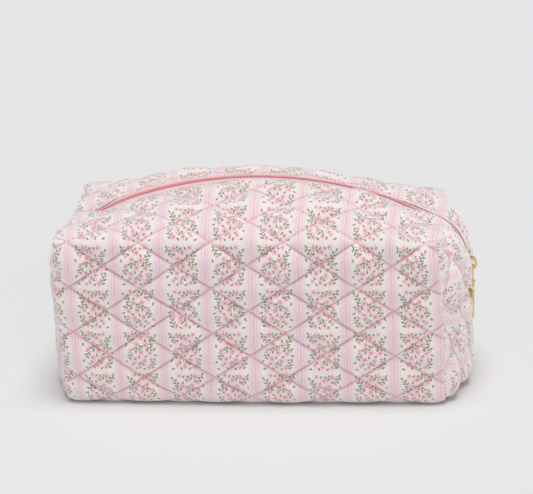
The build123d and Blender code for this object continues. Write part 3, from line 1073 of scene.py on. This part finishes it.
def painted_crease_mask(n, u, v):
    """1 on the quilting lines, where the cloth is drawn into folds; it places the painted shade of the
    creases.
    """
    line = (u - CROSSING_U) / DIAMOND_U
    other = (v - CROSSING_V) / DIAMOND_V
    near = [n.math("PINGPONG", part, 0.5) for part in (line + other, line - other)]
    return n.step(n.math("MINIMUM", *near), 0.04, 0.005)


def weave(n, cloth):
    """Plain weave: height of the threads, and a mask of the gaps between them, where shade is painted."""
    u, v = n.split(cloth)
    height = n.wave(u, WEAVE_PITCH) * n.wave(v, WEAVE_PITCH)
    return height, n.step(abs(height), 0.4, 0.0)


def plain_cloth(name, colour, pale):
    """Plain cotton, slightly crumpled and with slubs."""
    n = Material(name)
    cloth = n.cloth()
    height, gap = weave(n, cloth)
    slub = n.noise(0.25, 3.0, n.vector("MULTIPLY", cloth, (1.0, 4.0, 1.0)))
    # painted shade in the gaps between threads
    tone = n.mix(gap * 0.12, n.mix(slub, colour, pale), (0.5, 0.42, 0.42, 1.0), "MULTIPLY")
    normal = n.bump(slub, 0.3, 0.0006, n.bump(n.noise(0.05, 3.0, cloth, 0.6), 0.5, 0.004))
    normal = n.bump(height, 0.3, 0.00012, normal)
    return n.finish(base_color=tone, roughness=0.9, normal=normal, sheen_weight=0.2)


def tape_material():
    """Woven zip tape: a herringbone rib with painted shade in its gaps."""
    n = Material("zip_tape")
    cloth = n.cloth()
    u, v = n.split(cloth)
    rib = n.wave(u + n.math("PINGPONG", abs(v), 1.1), 0.7)
    # painted shade: the rib's gaps in the darker pink
    tone = n.mix(n.step(rib, -0.8, 0.4), rgb(246, 196, 203), rgb(254, 228, 231))
    tone = n.mix(n.noise(1.5, 2.0, cloth), tone, rgb(252, 216, 220))
    return n.finish(base_color=tone, roughness=0.75, normal=n.bump(rib, 0.5, 0.00015), sheen_weight=0.2)


def coil_material():
    """Dyed nylon with a faint gloss."""
    n = Material("zip_coil")
    fine = n.noise(2500.0, 2.0, n.place())
    tone = n.mix(fine, rgb(246, 160, 168), rgb(252, 194, 198))
    return n.finish(base_color=tone, roughness=fine * 0.2 + 0.32, normal=n.bump(fine, 0.15, 0.0001))


def wadding_material():
    """Fibrous polyester wadding."""
    n = Material("wadding")
    fluff = n.noise(700.0, 6.0, n.place(), 0.7)
    tone = n.mix(fluff, rgb(236, 234, 230), rgb(252, 251, 248))
    return n.finish(base_color=tone, roughness=1.0, normal=n.bump(fluff, 0.8, 0.0006), sheen_weight=0.4)


def thread_material():
    """Twisted pink polyester thread."""
    n = Material("thread")
    fine = n.noise(3000.0, 2.0, n.place())
    tone = n.mix(fine, rgb(234, 162, 176), rgb(244, 190, 200))
    return n.finish(base_color=tone, roughness=0.6, normal=n.bump(fine, 0.4, 0.00005), sheen_weight=0.2)


def gold_material():
    """Pale gold plate, polished, with fine scratches."""
    n = Material("gold_metal")
    scratches = n.noise(900.0, 4.0, n.vector("MULTIPLY", n.place(), (1.0, 1.0, 8.0)), 0.6)
    tone = n.mix(n.noise(160.0, 3.0, n.place()), rgb(236, 196, 118), rgb(250, 222, 158))
    return n.finish(base_color=tone, metallic=1.0, roughness=scratches * 0.16 + 0.12,
                    normal=n.bump(scratches, 0.08, 0.00008))


def floor_material():
    """Pale seamless paper."""
    n = Material("floor")
    grain = n.noise(60.0, 3.0, n.place())
    tone = n.mix(grain, (0.80, 0.80, 0.80, 1.0), (0.82, 0.82, 0.82, 1.0))
    return n.finish(0.1, base_color=tone, roughness=0.9)


MATERIALS = {
    "print": print_material(),
    "wadding": wadding_material(),
    "lining": plain_cloth("lining_cotton", rgb(253, 240, 238), rgb(255, 250, 248)),
    "binding": plain_cloth("binding", rgb(240, 196, 204), rgb(246, 214, 218)),
    "tape": tape_material(),
    "coil": coil_material(),
    "thread": thread_material(),
    "gold": gold_material(),
}


# ======== hardware
def eased_copy(node, body, width):
    """A copy of a CAD piece with its edges eased, which stands for it."""
    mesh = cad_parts[node].data.copy()
    obj = bpy.data.objects.new(node + "_eased", mesh)
    bpy.context.scene.collection.objects.link(obj)
    bevel = obj.modifiers.new("ease", "BEVEL")
    bevel.width = width * MM
    bevel.segments = 2
    bevel.limit_method = "ANGLE"
    bevel.angle_limit = math.radians(35)
    mesh.materials.clear()
    mesh.polygons.foreach_set("use_smooth", [True] * len(mesh.polygons))
    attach(obj, body)
    dress(obj, "gold", "gold_metal", node)


def make_hardware():
    """The slider, its crown and the bar with eased edges; the wire link as it is."""
    for node, body, width in (("slider_body", "slider", 0.22), ("slider_crown", "slider", 0.3),
                              ("pull_bar", "pull_bar", 0.3)):
        eased_copy(node, body, width)
    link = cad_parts["pull_link"].data
    link.materials.clear()
    link.materials.append(MATERIALS["gold"])


# ======== stage
FLOOR_REACH = 40000.0               # far enough to meet the horizon at low angles
SKY_LOW, SKY_HIGH = 0.19, 0.57      # brightness of the surroundings, level and overhead
SUNS = (                            # name, towards the light, power, softness in degrees
    ("key", (0.06, -0.10, 1.0), 1.56, 34.0),
    ("fill", (0.30, -1.0, 0.22), 0.66, 50.0),
)


def make_stage():
    """Pale floor and soft light from above and behind."""
    reach = FLOOR_REACH
    edge = [(-reach, -reach, 0), (reach, -reach, 0), (reach, reach, 0), (-reach, reach, 0)]
    floor = new_object("floor", edge, [[0, 1, 2, 3]])
    floor.data.materials.append(floor_material())
    world = bpy.data.worlds.new("studio")
    bpy.context.scene.world = world
    world.use_nodes = True
    n = Nodes(world.node_tree)
    background = world.node_tree.nodes["Background"]
    background.inputs[0].default_value = (1.0, 1.0, 1.0, 1.0)
    where = Value(n, n.add("ShaderNodeTexCoord").outputs["Generated"])
    up = n.made(n.add("ShaderNodeSeparateXYZ"), (0,), (where,), 2)
    sky = n.made(n.add("ShaderNodeMapRange"), range(5), (up, 0.0, 1.0, SKY_LOW, SKY_HIGH))
    n.put(background.inputs[1], sky)
    for name, towards, power, angle in SUNS:
        light = bpy.data.lights.new(name, "SUN")
        light.energy = power
        light.angle = math.radians(angle)
        obj = bpy.data.objects.new(name, light)
        obj.rotation_mode = "QUATERNION"
        obj.rotation_quaternion = Vector(towards).to_track_quat("Z", "Y")
        bpy.context.scene.collection.objects.link(obj)
    bpy.context.scene.view_settings.view_transform = "Standard"


VIEW_AZIMUTH = 7.35      # degrees to the right of straight on
VIEW_ELEVATION = 16.8
VIEW_ROLL = 2.13
VIEW_DISTANCE = 1.4356   # metres, to the bag's middle
VIEW_TARGET = Vector((0, 0, 0.065))
VIEW_LENS = 154.5
VIEW_SHIFT = (0.0141, 0.0534)


def make_camera():
    camera = bpy.data.cameras.new("camera")
    camera.lens = VIEW_LENS
    camera.sensor_width = 36.0
    camera.shift_x, camera.shift_y = VIEW_SHIFT
    obj = bpy.data.objects.new("camera", camera)
    bpy.context.scene.collection.objects.link(obj)
    a, e = math.radians(VIEW_AZIMUTH), math.radians(VIEW_ELEVATION)
    back = Vector((math.sin(a) * math.cos(e), -math.cos(a) * math.cos(e), math.sin(e)))
    obj.location = VIEW_TARGET + back * VIEW_DISTANCE
    obj.rotation_mode = "QUATERNION"
    roll = Matrix.Rotation(math.radians(-VIEW_ROLL), 4, "Z").to_quaternion()
    obj.rotation_quaternion = (-back).to_track_quat("-Z", "Y") @ roll
    bpy.context.scene.camera = obj


# ======== build
cover_sheet = Sheet(32, 46)
surface, normals = make_cover(cover_sheet)
for half in ("front", "back"):
    make_quilting(cover_sheet, half, surface, normals)
    make_topstitch(cover_sheet, half, surface, normals)
make_padding(Sheet(12, 22))
for half, sign in (("front", -1), ("back", 1)):
    make_tape(half, sign)
    make_coil(half, sign)
make_guard("zip_guard_left", -1)
make_guard("zip_guard_right", 1)
make_hardware()
make_bindings()
make_stage()
make_camera()
